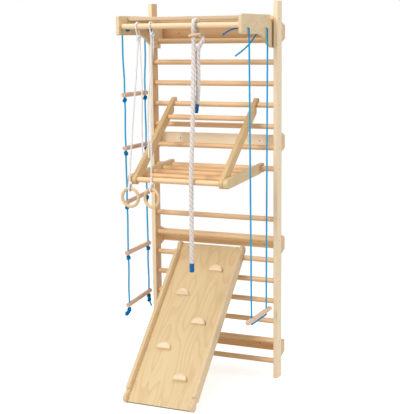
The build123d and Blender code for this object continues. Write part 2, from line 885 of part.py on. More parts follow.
def make_rope_ends():
    """The stretches in the plates: a bend outside, a knot inside and the loose tails on the right."""
    knot_x = plate_inner - thin_knot_radius - hook_clearance
    front, rear = rope_hole_ys
    front_tail = [(knot_x - x, front, rope_hole_z - z) for x, z in front_tail_places]
    rear_tail = [(knot_x - x, rear, rope_hole_z - z) for x, z in rear_tail_places]
    routes = [
        (-1, front, [(-knot_x, front, rope_hole_z)], []),
        (-1, rear, [(-knot_x, rear, rope_hole_z)], []),
        (1, front, front_tail, front_tail_bends),
        (1, rear, rear_tail, rear_tail_bends),
    ]
    ropes = []
    for side, y, inside, inside_radii in routes:
        outside = [(side * thin_rope_x, y, rope_hole_z), (side * thin_rope_x, y, thin_rope_top)]
        body = tube(inside + outside, inside_radii + [thin_rope_bend], thin_rope_radius)
        ropes.append(body + Pos(side * knot_x, y, rope_hole_z) * Sphere(thin_knot_radius))
    return ropes


# Everything by name; a list is a group of like solids

def make_nodes():
    nodes = {}
    on_table = Pos(table_centre_x, 0, 0)
    for side, side_name in ((-1, "left"), (1, "right")):
        nodes[f"post_{side_name}_lower"] = make_post(side, False)
        nodes[f"post_{side_name}_upper"] = make_post(side, True)
        nodes[f"wall_spacers_{side_name}"] = [make_spacer(side, z) for z in cross_board_heights]
        nodes[f"bracket_{side_name}"] = make_plate(side)
        nodes[f"table_arm_{side_name}"] = on_table * make_arm(side)
        nodes[f"seat_rail_{side_name}"] = on_table * make_seat_rail(side)
        nodes[f"slide_rail_{side_name}"] = make_slide_rail(side)
    for number, height in enumerate(rung_heights(), 1):
        nodes[f"rung_{number:02d}"] = make_rung(height)
    for number, height in enumerate(cross_board_heights, 1):
        nodes[f"cross_board_{number}"] = make_cross_board(height)
    nodes["joint_dowels"] = make_joint_dowels()
    nodes["rung_screws"] = make_rung_screws()
    nodes["pull_up_bar"] = make_pull_up_bar()
    nodes["top_board"] = make_top_board()
    nodes["bracket_screws"] = make_plate_screws()
    nodes["table_arm_dowel"] = on_table * make_arm_dowel()
    nodes["table_arm_screws"] = [on_table * body for body in make_arm_screws()]
    nodes["table_front_bar"] = on_table * make_seat_rod(pivot_y, pivot_z)
    nodes["seat_rungs"] = [on_table * make_seat_rod(y, z) for y, z in seat_rung_places()]
    nodes["seat_screws"] = [on_table * body for body in make_seat_screws()]
    nodes["slide_board"] = make_slide_board()
    nodes["slide_holds"] = make_holds()
    nodes["slide_screws"] = make_slide_screws()
    nodes["rope_ring"] = make_rope_ring()
    nodes["gym_ring_left"] = make_gym_ring(left_ring_x, rail_radius, left_ring_turn)
    nodes["gym_ring_right"] = make_gym_ring(right_ring_x, rung_radius, right_ring_turn)
    ladder_places = zip(ladder_rung_heights(), ladder_rung_tilts)
    nodes["ladder_rungs"] = [make_ladder_rung(*place) for place in ladder_places]
    nodes["trapeze_bar"] = make_trapeze_bar()
    return nodes


def make_cords():
    cords = {}
    cords["climbing_rope"], rope_points = make_climbing_rope()
    cords["rope_whippings"] = make_whippings(rope_points)
    cords["ring_cord_left"] = make_ring_cord(
        left_ring_bar_x,
        left_ring_knot_below_bar,
        left_ring_tail_x,
        left_ring_x,
        rail_radius,
        left_ring_turn,
    )
    cords["ring_cord_right"] = make_ring_cord(
        right_ring_bar_x,
        right_ring_knot_below_bar,
        right_ring_tail_x,
        right_ring_x,
        rung_radius,
        right_ring_turn,
    )
    ends = (ladder_front_end, ladder_rear_end)
    falls = zip(rope_hole_ys, holes_about_middle(ladder_hole_spread), ends, (-0.5, 0.5))
    cords["ladder_ropes"] = [make_ladder_rope(*fall) for fall in falls]
    cords["trapeze_rope"] = make_trapeze_rope()
    cords["bracket_rope_ends"] = make_rope_ends()
    return cords


def as_compound(shape):
    solids = shape if isinstance(shape, list) else [shape]
    return Compound(children=[solid.solids()[0] for solid in solids])


def main():
    os.makedirs("parts", exist_ok=True)
    nodes = {name: as_compound(shape) for name, shape in make_nodes().items()}
    boxes = [shape.bounding_box() for shape in nodes.values()]
    middle_y = (min(box.min.Y for box in boxes) + max(box.max.Y for box in boxes)) / 2
    print(f"the origin is {-middle_y:.4f} in front of the posts")
    nodes.update({name: as_compound(shape) for name, shape in make_cords().items()})
    for name, shape in nodes.items():
        export_step(Pos(0, -middle_y, 0) * shape, f"parts/{name}.step")


if __name__ == "__main__":
    main()
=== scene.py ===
"""Looks of the wooden wall-bar climbing set: wood, ropes, knots, floor, light and camera.

Lengths in the tables are millimetres in the set's own frame: X across the wall, Y from the front face of the
posts towards the wall, Z up from the floor. place() turns them into metres in the frame of the model.
"""

import bpy
import math
from mathutils import Matrix, Vector


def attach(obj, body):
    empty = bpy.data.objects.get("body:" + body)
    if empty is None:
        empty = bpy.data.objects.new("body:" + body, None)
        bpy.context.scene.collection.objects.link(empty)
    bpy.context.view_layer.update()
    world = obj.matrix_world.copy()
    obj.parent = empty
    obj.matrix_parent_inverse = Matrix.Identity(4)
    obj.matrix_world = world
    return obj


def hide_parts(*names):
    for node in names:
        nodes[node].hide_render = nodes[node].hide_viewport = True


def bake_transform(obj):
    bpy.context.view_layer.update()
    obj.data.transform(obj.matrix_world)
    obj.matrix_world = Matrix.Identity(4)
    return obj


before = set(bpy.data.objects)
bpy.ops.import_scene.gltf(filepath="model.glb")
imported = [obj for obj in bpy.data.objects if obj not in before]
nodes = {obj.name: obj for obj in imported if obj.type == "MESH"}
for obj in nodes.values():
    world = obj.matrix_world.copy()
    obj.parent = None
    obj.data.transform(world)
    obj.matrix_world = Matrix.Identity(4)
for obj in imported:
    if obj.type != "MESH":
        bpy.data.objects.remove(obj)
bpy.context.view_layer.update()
scene = bpy.context.scene

posts_front = 292.5388


def place(x, y, z):
    return Vector((x / 1000, (y + posts_front) / 1000, z / 1000))


# Camera at the photograph's viewing angle

camera_place = (2380.8, -5406.3, 1969.4)
camera_yaw = math.radians(24.487)
camera_pitch = math.radians(9.406)
camera_roll = math.radians(-0.639)
camera_focus_pixels = 1028.2
image_long_side = 414
sensor = 36.0


def make_camera():
    data = bpy.data.cameras.new("camera")
    data.sensor_width = sensor
    data.lens = camera_focus_pixels * sensor / image_long_side
    camera = bpy.data.objects.new("camera", data)
    scene.collection.objects.link(camera)
    forward = Vector((
        -math.sin(camera_yaw) * math.cos(camera_pitch),
        math.cos(camera_yaw) * math.cos(camera_pitch),
        -math.sin(camera_pitch),
    ))
    right = Vector((math.cos(camera_yaw), math.sin(camera_yaw), 0))
    up = right.cross(forward)
    rolled_right = math.cos(camera_roll) * right + math.sin(camera_roll) * up
    rolled_up = -math.sin(camera_roll) * right + math.cos(camera_roll) * up
    turn = Matrix((rolled_right, rolled_up, -forward)).transposed()
    camera.matrix_world = Matrix.Translation(place(*camera_place)) @ turn.to_4x4()
    scene.camera = camera


# Shader helpers

def srgb(red, green, blue):
    """A colour as it is seen on a screen, 0 to 255, in the linear values of the shaders."""
    linear = []
    for part in (red, green, blue):
        share = part / 255
        linear.append(share / 12.92 if share <= 0.04045 else ((share + 0.055) / 1.055) ** 2.4)
    return tuple(linear) + (1.0,)


def new_material(name):
    material = bpy.data.materials.new(name)
    material.use_nodes = True
    material.node_tree.nodes.clear()
    return material, material.node_tree


def add(tree, kind, inputs, **settings):
    made = tree.nodes.new(kind)
    for name, value in settings.items():
        setattr(made, name, value)
    for name, value in inputs.items():
        if isinstance(value, bpy.types.NodeSocket):
            tree.links.new(value, made.inputs[name])
        else:
            made.inputs[name].default_value = value
    return made


def math_node(tree, operation, *values):
    return add(tree, "ShaderNodeMath", dict(enumerate(values)), operation=operation).outputs[0]


def mapped(tree, vector, scale=(1, 1, 1), rotation=(0, 0, 0), location=(0, 0, 0)):
    inputs = {"Vector": vector, "Scale": scale, "Rotation": rotation, "Location": location}
    return add(tree, "ShaderNodeMapping", inputs).outputs["Vector"]


def noise(tree, vector, scale, detail=2.0, roughness=0.5):
    inputs = {"Vector": vector, "Scale": scale, "Detail": detail, "Roughness": roughness}
    return add(tree, "ShaderNodeTexNoise", inputs).outputs["Fac"]


def ramp(tree, factor, stops):
    made = add(tree, "ShaderNodeValToRGB", {"Fac": factor})
    elements = made.color_ramp.elements
    elements[0].position, elements[0].color = stops[0]
    elements[1].position, elements[1].color = stops[-1]
    for position, colour in stops[1:-1]:
        elements.new(position).color = colour
    return made.outputs["Color"]


def mix(tree, factor, first, second, blend_type="MIX"):
    inputs = {0: factor, 6: first, 7: second}
    return add(tree, "ShaderNodeMix", inputs, data_type="RGBA", blend_type=blend_type).outputs[2]


def spread(tree, value, low, high):
    """Moves a 0 to 1 value into the range low to high."""
    inputs = {0: value, 3: low, 4: high}
    return add(tree, "ShaderNodeMapRange", inputs).outputs[0]


def finish_shader(tree, inputs):
    shader = add(tree, "ShaderNodeBsdfPrincipled", inputs)
    out = add(tree, "ShaderNodeOutputMaterial", {})
    tree.links.new(shader.outputs[0], out.inputs["Surface"])


# Wood

shift_shares = (1.0, 0.37, 0.61)
ring_scale = 700
line_stops = (0.5, 0.78, 0.93)
middle_share = 0.25
fibre_frequency = 620
fibre_stretch = 0.025
fibre_range = (-0.05, 0.34)
fibre_relief = {"Strength": 0.2, "Distance": 0.0004}
tone_frequency = 7.0
tone_stretch = 0.3
tone_range = (-0.45, 0.75)
knot_stretch = 0.45
knot_wobble_frequency = 60
knot_wobble = 0.06
knot_stops = [(0.0, (0.9, 0.9, 0.9, 1)), (0.075, (0.75, 0.75, 0.75, 1)), (0.11, (0, 0, 0, 1))]
knot_colour = srgb(176, 122, 72)
# Painted shade for the faces that look down
underside_shade_colour = srgb(176, 112, 58)
underside_shade_from = 0.1
underside_shade_full = -0.8


def wood(name, grain, pale, dark, ring=4.0, wander=3.0, figure=14.0, stretch=0.06, shift=0.0, knots=0.0,
         roughness=0.42, depth=0.55, under=0.0):
    """Sawn wood: growth rings that wander about the grain, fine fibres, slow changes of tone and a few knots.

    ring is the mean width of a growth ring in mm, wander how many rings the slow figure moves a line, figure
    its frequency across the grain per metre and stretch the same along the grain as a share of that. shift
    moves the pattern, knots is their frequency per metre, depth how dark the late wood is, and under how much
    painted shade darkens the faces that look down, towards a deeper orange.
    """
    material, tree = new_material(name)
    turn = Vector(grain).rotation_difference(Vector((0, 0, 1))).to_euler()
    where = add(tree, "ShaderNodeTexCoord", {}).outputs["Object"]
    moved = tuple(share * shift for share in shift_shares)
    turned = mapped(tree, where, rotation=tuple(turn), location=moved)
    slow = noise(tree, mapped(tree, turned, scale=(1, 1, stretch)), figure, 1.5, 0.45)
    across = add(tree, "ShaderNodeSeparateXYZ", {"Vector": turned}).outputs
    run = math_node(tree, "MULTIPLY", math_node(tree, "ADD", across[0], across[1]), ring_scale / ring)
    lines = math_node(tree, "MULTIPLY_ADD", slow, wander, run)
    saw = math_node(tree, "FRACT", lines)
    middle = tuple(a + (b - a) * middle_share for a, b in zip(pale, dark))
    late = tuple(a + (b - a) * depth for a, b in zip(pale, dark))
    stops = [(0.0, pale), *zip(line_stops, (pale, middle, late)), (1.0, pale)]
    colour = ramp(tree, saw, stops)
    fibre = noise(tree, mapped(tree, turned, scale=(1, 1, fibre_stretch)), fibre_frequency, 3.0, 0.6)
    colour = mix(tree, spread(tree, fibre, *fibre_range), colour, late)
    tone = noise(tree, mapped(tree, turned, scale=(1, 1, tone_stretch)), tone_frequency, 2.0, 0.5)
    colour = mix(tree, spread(tree, tone, *tone_range), colour, middle)
    if knots:
        cells = mapped(tree, turned, scale=(1, 1, knot_stretch))
        inputs = {"Vector": cells, "Scale": knots, "Randomness": 1.0}
        spots = add(tree, "ShaderNodeTexVoronoi", inputs).outputs["Distance"]
        wobble = noise(tree, turned, knot_wobble_frequency, 2.0, 0.5)
        near = math_node(tree, "MULTIPLY_ADD", wobble, knot_wobble, spots)
        colour = mix(tree, ramp(tree, near, knot_stops), colour, knot_colour)
    # Painted shade: faces that look down are darkened towards a deeper orange
    if under:
        facing = add(tree, "ShaderNodeNewGeometry", {}).outputs["Normal"]
        upward = add(tree, "ShaderNodeSeparateXYZ", {"Vector": facing}).outputs[2]
        inputs = {0: upward, 1: underside_shade_from, 2: underside_shade_full, 3: 0.0, 4: under}
        share = add(tree, "ShaderNodeMapRange", inputs).outputs[0]
        colour = mix(tree, share, colour, underside_shade_colour)
    bump = add(tree, "ShaderNodeBump", {"Height": fibre, **fibre_relief}).outputs[0]
    gloss = spread(tree, fibre, roughness - 0.08, roughness + 0.14)
    finish_shader(tree, {
        "Base Color": colour,
        "Roughness": gloss,
        "Specular IOR Level": 0.38,
        "Normal": bump,
    })
    return material


# Metal

turning_marks_frequency = 900
steel_stops = [(0.3, srgb(150, 142, 128)), (0.7, srgb(196, 188, 172))]


def steel(name):
    """Zinc-plated screws with faint turning marks."""
    material, tree = new_material(name)
    where = add(tree, "ShaderNodeTexCoord", {}).outputs["Object"]
    marks = noise(tree, where, turning_marks_frequency, 2.0, 0.6)
    colour = ramp(tree, marks, steel_stops)
    finish_shader(tree, {
        "Base Color": colour,
        "Metallic": 1.0,
        "Roughness": spread(tree, marks, 0.3, 0.48),
    })
    return material


# Rope fibres

fuzz_frequency = 900
fuzz_range = (-0.15, 0.4)
blotch_frequency = 28
blotch_range = (-0.3, 0.4)
yarn_hollow_shade_range = (0.55, 0.0)
groove_shade_stops = [(0.7, (0, 0, 0, 1)), (0.97, (0.85, 0.85, 0.85, 1))]


def fibre_rope(name, pale, dark, yarns, slant, roughness=0.85, bump_depth=0.0005, lay=0):
    """Yarns run slantwise round each strand; u counts rope diameters along the rope, v goes once round it.

    lay is the number of strands whose grooves get painted shade as darker lines.
    """
    material, tree = new_material(name)
    surface = add(tree, "ShaderNodeUVMap", {}, uv_map="rope").outputs[0]
    parts = add(tree, "ShaderNodeSeparateXYZ", {"Vector": surface}).outputs
    turned = math_node(tree, "MULTIPLY_ADD", parts[0], slant, parts[1])
    wave = math_node(tree, "SINE", math_node(tree, "MULTIPLY", turned, 2 * math.pi * yarns))
    height = spread(tree, math_node(tree, "MULTIPLY_ADD", wave, 0.5, 0.5), 0.0, 1.0)
    where = add(tree, "ShaderNodeTexCoord", {}).outputs["Object"]
    fuzz = noise(tree, where, fuzz_frequency, 3.0, 0.65)
    blotch = noise(tree, where, blotch_frequency, 2.0, 0.5)
    # Painted shade: the hollows between the yarns are darker
    colour = mix(tree, spread(tree, height, *yarn_hollow_shade_range), pale, dark)
    colour = mix(tree, spread(tree, fuzz, *fuzz_range), colour, dark)
    colour = mix(tree, spread(tree, blotch, *blotch_range), colour, dark)
    # Painted shade along the grooves between the strands
    if lay:
        strands = math_node(tree, "COSINE", math_node(tree, "MULTIPLY", parts[1], 2 * math.pi * lay))
        valley = spread(tree, math_node(tree, "MULTIPLY_ADD", strands, -0.5, 0.5), 0.0, 1.0)
        colour = mix(tree, ramp(tree, valley, groove_shade_stops), colour, dark)
    relief = math_node(tree, "MULTIPLY_ADD", fuzz, 0.5, height)
    bump = add(tree, "ShaderNodeBump", {"Height": relief, "Strength": 0.5, "Distance": bump_depth}).outputs[0]
    finish_shader(tree, {
        "Base Color": colour,
        "Roughness": spread(tree, fuzz, roughness - 0.1, roughness + 0.1),
        "Specular IOR Level": 0.04,
        "Normal": bump,
    })
    return material


# Lines of the ropes, each one smooth spline

def smooth_line(points, step):
    """Evenly spaced points on the spline that has these control points."""
    curve = bpy.data.curves.new("route", "CURVE")
    curve.dimensions = "3D"
    spline = curve.splines.new("NURBS")
    spline.points.add(len(points) - 1)
    for spot, point in zip(spline.points, points):
        spot.co = (*point, 1.0)
    spline.order_u = 3
    spline.use_endpoint_u = True
    spline.resolution_u = 32
    holder = bpy.data.objects.new("route", curve)
    scene.collection.objects.link(holder)
    bpy.context.view_layer.update()
    mesh = bpy.data.meshes.new_from_object(holder)
    read = [vertex.co.copy() for vertex in mesh.vertices]
    bpy.data.objects.remove(holder)
    bpy.data.curves.remove(curve)
    bpy.data.meshes.remove(mesh)
    return even_line(read, step)


def even_line(read, step):
    lengths = [0.0]
    for first, second in zip(read, read[1:]):
        lengths.append(lengths[-1] + (second - first).length)
    count = max(2, round(lengths[-1] / step))
    line = []
    index = 0
    for number in range(count + 1):
        wanted = lengths[-1] * number / count
        while index < len(read) - 2 and lengths[index + 1] < wanted:
            index += 1
        span = lengths[index + 1] - lengths[index]
        share = (wanted - lengths[index]) / span if span else 0.0
        line.append(read[index].lerp(read[index + 1], min(1.0, share)))
    return line


# Rope surfaces: a profile that turns as it follows the line

strand_share = 0.464
groove_floor = 0.87
wound_floor = 0.93
plaits = 4
plait_height = 0.05


def three_strands(angle, along):
    """Outline of three round strands laid together, with the grooves nearly filled."""
    centre = 1 - strand_share
    turn = math.remainder(angle, 2 * math.pi / 3)
    inner = max(0.0, strand_share**2 - (centre * math.sin(turn)) ** 2)
    return max(groove_floor, centre * math.cos(turn) + math.sqrt(inner))


def wound_strands(angle, along):
    """The same strands under a tight winding."""
    return max(wound_floor, three_strands(angle, along))


def braid(angle, along):
    """Two sets of plaits that cross, eight round the rope."""
    return 1.0 + plait_height * math.sin(plaits * angle + along) * math.sin(plaits * angle - along)


def rope_piece(name, line, radius, profile, pitch, around, twist=1.0, first=0):
    """A closed tube along the line from its point number first, with a UV map.

    u counts diameters along the tube and v goes once round it.
    """
    count = len(line) - first
    tangents = []
    for number in range(len(line)):
        ahead = line[min(len(line) - 1, number + 1)] - line[max(0, number - 1)]
        tangents.append(ahead.normalized())
    side = tangents[0].orthogonal().normalized()
    vertices = []
    lengths = []
    run = 0.0
    for number, (point, tangent) in enumerate(zip(line, tangents)):
        if number:
            run += (point - line[number - 1]).length
            side = tangents[number - 1].rotation_difference(tangent) @ side
        side = (side - tangent * side.dot(tangent)).normalized()
        if number < first:
            continue
        other = tangent.cross(side)
        lengths.append(run)
        along = 2 * math.pi * run / pitch
        for spot in range(around):
            angle = 2 * math.pi * spot / around
            reach = radius * profile(angle, along)
            turned = angle + twist * along
            vertices.append(point + reach * (math.cos(turned) * side + math.sin(turned) * other))
    faces = []
    corners = []
    for ring in range(count - 1):
        for spot in range(around):
            following = (spot + 1) % around
            low, high = ring * around, (ring + 1) * around
            faces.append((low + spot, low + following, high + following, high + spot))
            start, end = lengths[ring] / (2 * radius), lengths[ring + 1] / (2 * radius)
            left, right = spot / around, (spot + 1) / around
            corners += [(start, left), (start, right), (end, right), (end, left)]
    for cap in (list(range(around))[::-1], [(count - 1) * around + spot for spot in range(around)]):
        faces.append(cap)
        corners += [(0.0, 0.0)] * around
    mesh = bpy.data.meshes.new(name)
    mesh.from_pydata([tuple(vertex) for vertex in vertices], [], faces)
    layer = mesh.uv_layers.new(name="rope")
    for corner, value in zip(layer.data, corners):
        corner.uv = value
    mesh.shade_smooth()
    mesh.validate()
    piece = bpy.data.objects.new(name, mesh)
    scene.collection.objects.link(piece)
    return piece


def join(name, pieces):
    bpy.ops.object.select_all(action="DESELECT")
    for piece in pieces:
        piece.select_set(True)
    bpy.context.view_layer.objects.active = pieces[0]
    if len(pieces) > 1:
        bpy.ops.object.join()
    pieces[0].name = name
    pieces[0].data.name = name
    return pieces[0]


knot_points = 64
knot_middle = 0.66
knot_swing = 0.34
knot_height = 0.8
knot_pitch = 7
knot_sides = 12


def knot_line(centre, axis, size, thickness, turn=0.0, squeeze=1.0):
    """A closed overhand knot, drawn tight, round the axis of the rope that it is tied in."""
    lean = Vector((0, 0, 1)).rotation_difference(Vector(axis).normalized())
    reach = size - thickness
    points = []
    for number in range(knot_points):
        t = 2 * math.pi * number / knot_points
        radius = reach * (knot_middle + knot_swing * math.cos(3 * t))
        spot = Vector((
            radius * math.cos(2 * t + turn),
            radius * math.sin(2 * t + turn),
            squeeze * reach * knot_height * math.sin(3 * t),
        ))
        points.append(centre + lean @ spot)
    return points + points[:1]


def knot_piece(name, centre, axis, size, thickness, turn=0.0, squeeze=1.0):
    line = even_line(knot_line(centre, axis, size, thickness, turn, squeeze), thickness / 2)
    return rope_piece(name, line, thickness, three_strands, knot_pitch * thickness, knot_sides)


# Materials

across_wall = (1, 0, 0)
off_wall = (0, 1, 0)
upright = (0, 0, 1)
slope = (0, math.cos(math.radians(45)), math.sin(math.radians(45)))
arm_slope = (0, math.cos(math.radians(38.4)), math.sin(math.radians(38.4)))

post_pale, post_dark = srgb(248, 229, 194), srgb(210, 164, 112)
# Painted shade for the faces of the posts that look at each other
shaded_inner_pale, shaded_inner_dark = srgb(222, 182, 134), srgb(182, 128, 78)
spacer_pale, spacer_dark = srgb(228, 194, 146), srgb(190, 142, 90)
rung_pale, rung_dark = srgb(252, 217, 170), srgb(214, 148, 88)
bar_pale, bar_dark = srgb(244, 213, 173), srgb(214, 162, 108)
# The seat rungs are a darker, more orange copy of the rung pine: painted shade
seat_rung_pale, seat_rung_dark = srgb(242, 200, 150), srgb(198, 138, 82)
# The four cross boards are lighter and darker copies of one pine, one for each board: painted light and shade
board_pale, board_dark = srgb(222, 184, 138), srgb(176, 124, 78)
second_board_pale, second_board_dark = srgb(255, 243, 216), srgb(234, 200, 156)
third_board_pale, third_board_dark = srgb(255, 222, 168), srgb(222, 166, 106)
fourth_board_pale, fourth_board_dark = srgb(242, 196, 140), srgb(194, 136, 80)
top_pale, top_dark = srgb(214, 190, 158), srgb(190, 146, 98)
plate_pale, plate_dark = srgb(228, 204, 164), srgb(200, 164, 116)
arm_pale, arm_dark = srgb(222, 190, 140), srgb(182, 136, 82)
seat_pale, seat_dark = srgb(226, 200, 154), srgb(188, 146, 92)
slide_pale, slide_dark = srgb(228, 203, 157), srgb(192, 150, 98)
# Painted shade for the lower end of the slide board
end_shade_pale, end_shade_dark = srgb(112, 72, 42), srgb(80, 50, 28)
guard_pale, guard_dark = srgb(230, 206, 166), srgb(194, 154, 104)
hold_pale, hold_dark = srgb(244, 224, 190), srgb(214, 172, 122)
beech_pale, beech_dark = srgb(218, 182, 154), srgb(176, 134, 104)
trapeze_pale, trapeze_dark = srgb(230, 198, 172), srgb(194, 154, 124)
ring_pale, ring_dark = srgb(232, 202, 160), srgb(200, 154, 104)
# Painted shade for the walls of the bolt holes
drilled_pale, drilled_dark = srgb(96, 66, 42), srgb(58, 36, 22)
cotton_pale, cotton_dark = srgb(254, 250, 245), srgb(204, 188, 180)
white_pale, white_dark = srgb(255, 254, 252), srgb(230, 227, 224)
blue_pale, blue_dark = srgb(0, 176, 226), srgb(0, 146, 204)
# Painted shade: a darker copy of the blue rope for its knots and the front tail
shaded_blue_pale, shaded_blue_dark = srgb(0, 146, 206), srgb(0, 104, 172)
whipping_pale, whipping_dark = srgb(46, 118, 184), srgb(26, 84, 146)


def make_materials():
    made = {}
    made["post"] = wood("pine_posts", upright, post_pale, post_dark, ring=5.0, knots=4.0, stretch=0.05)
    made["post_inner"] = wood(
        "pine_post_inner", upright, shaded_inner_pale, shaded_inner_dark, ring=5.0, knots=4.0, stretch=0.05, shift=0.4,
    )
    made["spacer"] = wood("pine_spacers", upright, spacer_pale, spacer_dark, ring=4.5, shift=0.31)
    # under paints shade on the faces of the rungs that look down
    made["rung"] = wood(
        "pine_rungs", across_wall, rung_pale, rung_dark, ring=4.0, shift=0.7, depth=0.7, under=0.34,
    )
    made["bar"] = wood("pine_bar", across_wall, bar_pale, bar_dark, ring=5.0, shift=0.5)
    made["seat_rung"] = wood(
        "pine_seat_rungs", across_wall, seat_rung_pale, seat_rung_dark, ring=4.0, shift=0.42, depth=0.7,
        under=0.6,
    )
    made["board"] = wood(
        "pine_boards", across_wall, board_pale, board_dark, ring=6.0, wander=5.0, shift=0.2, knots=3.0,
    )
    made["pale_board"] = wood(
        "pine_pale_board", across_wall, second_board_pale, second_board_dark, ring=7.0, wander=5.0, shift=0.8,
        depth=0.35,
    )
    made["warm_board"] = wood(
        "pine_warm_board", across_wall, third_board_pale, third_board_dark, ring=7.0, wander=5.0, shift=0.6,
    )
    made["low_board"] = wood(
        "pine_low_board", across_wall, fourth_board_pale, fourth_board_dark, ring=7.0, wander=5.0, shift=0.1,
    )
    made["top"] = wood("pine_top", across_wall, top_pale, top_dark, ring=6.0, wander=5.0, shift=0.45)
    made["plate"] = wood(
        "plywood_plates", off_wall, plate_pale, plate_dark, ring=40.0, wander=9.0, figure=9.0, stretch=0.3,
        shift=0.12, depth=0.3,
    )
    made["arm"] = wood("pine_arms", arm_slope, arm_pale, arm_dark, ring=6.0, wander=4.0, shift=0.53)
    made["seat"] = wood("pine_seat", off_wall, seat_pale, seat_dark, ring=6.0, wander=4.0, shift=0.27)
    made["slide"] = wood(
        "plywood_slide", slope, slide_pale, slide_dark, ring=70.0, wander=12.0, figure=8.5, stretch=0.2,
        shift=0.94, knots=3.0, depth=0.34,
    )
    made["ply_edge"] = wood("plywood_end_shade", across_wall, end_shade_pale, end_shade_dark, ring=3.0)
    made["guard"] = wood("pine_guards", slope, guard_pale, guard_dark, ring=7.0, wander=4.0, shift=0.36)
    made["hold"] = wood("pale_holds", across_wall, hold_pale, hold_dark, ring=5.0, shift=0.15)
    made["beech"] = wood("beech_bars", off_wall, beech_pale, beech_dark, ring=3.0, shift=0.66, depth=0.35)
    made["pale_beech"] = wood(
        "beech_trapeze", off_wall, trapeze_pale, trapeze_dark, ring=3.0, shift=0.23, depth=0.35,
    )
    made["ring"] = wood("ring_wood", upright, ring_pale, ring_dark, ring=9.0, wander=4.0)
    made["drilled"] = wood("drilled_wood", off_wall, drilled_pale, drilled_dark, ring=3.0)
    made["steel"] = steel("steel_screws")
    made["cotton"] = fibre_rope("twisted_cotton", cotton_pale, cotton_dark, 18, -1.4, lay=3)
    made["white"] = fibre_rope("white_cord", white_pale, white_dark, 12, 1.2)
    made["blue"] = fibre_rope("blue_rope", blue_pale, blue_dark, 12, 1.0, roughness=0.7)
    made["shaded_blue"] = fibre_rope("blue_rope_shade", shaded_blue_pale, shaded_blue_dark, 12, 1.0, roughness=0.7)
    made["whipping"] = fibre_rope("blue_whipping", whipping_pale, whipping_dark, 40, 0.0, roughness=0.5)
    return made


node_materials = (
    ("post_", "post"),
    ("wall_spacers_", "spacer"),
    ("rung_screws", "steel"),
    ("rung_", "rung"),
    ("cross_board_2", "pale_board"),
    ("cross_board_3", "warm_board"),
    ("cross_board_4", "low_board"),
    ("cross_board_", "board"),
    ("bracket_screws", "steel"),
    ("bracket_rope_ends", "blue"),
    ("bracket_", "plate"),
    ("pull_up_bar", "bar"),
    ("top_board", "top"),
    ("table_arm_screws", "steel"),
    ("table_arm_dowel", "rung"),
    ("table_arm_", "arm"),
    ("table_front_bar", "rung"),
    ("seat_rungs", "seat_rung"),
    ("seat_screws", "steel"),
    ("seat_rail_", "seat"),
    ("slide_board", "slide"),
    ("slide_rail_", "guard"),
    ("slide_holds", "hold"),
    ("slide_screws", "steel"),
    ("joint_dowels", "beech"),
    ("rope_ring", "ring"),
    ("gym_ring_", "ring"),
    ("ladder_rungs", "beech"),
    ("trapeze_bar", "pale_beech"),
)


bolt_hole_aside = 0.252
bolt_hole_reach = 0.006
cross_board_count = 4
end_grain_facing = -0.8
flat_facing = 0.5


def dress_nodes(materials):
    for name, piece in nodes.items():
        for start, material in node_materials:
            if name.startswith(start):
                piece.data.materials.clear()
                piece.data.materials.append(materials[material])
                break
    paint_shade_in_bolt_holes(materials["drilled"])
    paint_shade_on_post_insides(materials["post_inner"])
    paint_shade_on_slide_end(materials["ply_edge"])


def paint_shade_on_slide_end(material):
    """The sawn lower end of the climbing board gets painted shade, a dark brown."""
    piece = nodes["slide_board"]
    piece.data.materials.append(material)
    for face in piece.data.polygons:
        if face.normal.dot(Vector(slope)) < end_grain_facing:
            face.material_index = 1


def paint_shade_on_post_insides(material):
    """The faces of the posts that look at each other get painted shade: a darker, more orange copy of the
    pine.
    """
    for name, piece in nodes.items():
        if name.startswith("post_"):
            piece.data.materials.append(material)
            for face in piece.data.polygons:
                if face.normal.x * face.center.x < 0 and abs(face.normal.x) > flat_facing:
                    face.material_index = 1


def paint_shade_in_bolt_holes(material):
    """The walls of the two bolt holes in each cross board get painted shade, a dark brown."""
    for number in range(1, cross_board_count + 1):
        piece = nodes[f"cross_board_{number}"]
        piece.data.materials.append(material)
        low = min(vertex.co.z for vertex in piece.data.vertices)
        high = max(vertex.co.z for vertex in piece.data.vertices)
        for face in piece.data.polygons:
            aside = abs(abs(face.center.x) - bolt_hole_aside)
            off_middle = face.center.z - (low + high) / 2
            if math.hypot(aside, off_middle) < bolt_hole_reach and abs(face.normal.y) < flat_facing:
                face.material_index = 1


def dress(piece, material):
    piece.data.materials.clear()
    piece.data.materials.append(material)


# Climbing rope, laid over the pull-up bar; both parts start on top of the bar

climbing_radius = 0.0127
climbing_pitch = 0.078
climbing_step = 0.0032
climbing_sides = 30
whipping_length = 0.052
whipping_thickness = 0.001
climbing_fall = [
    (90, -408, 2056), (90, -436, 2056), (90, -436, 2019), (85, -421.5, 1978), (84, -421, 1930),
    (85, -428, 1850), (87, -440, 1720), (89, -449, 1600), (88, -463, 1430), (87, -478, 1260),
    (87, -480.7, 1199), (87, -480.7, 1130), (87, -484, 714),
]
climbing_tail = [
    (90, -408, 2056), (90, -380, 2056), (90, -380, 2019), (97, -394, 1988), (119, -397, 1977),
    (132, -401, 1956), (115, -403, 1930), (98, -404, 1902), (103, -407, 1760), (101, -410, 1660),
    (93, -412, 1605), (88, -412, 1568),
]


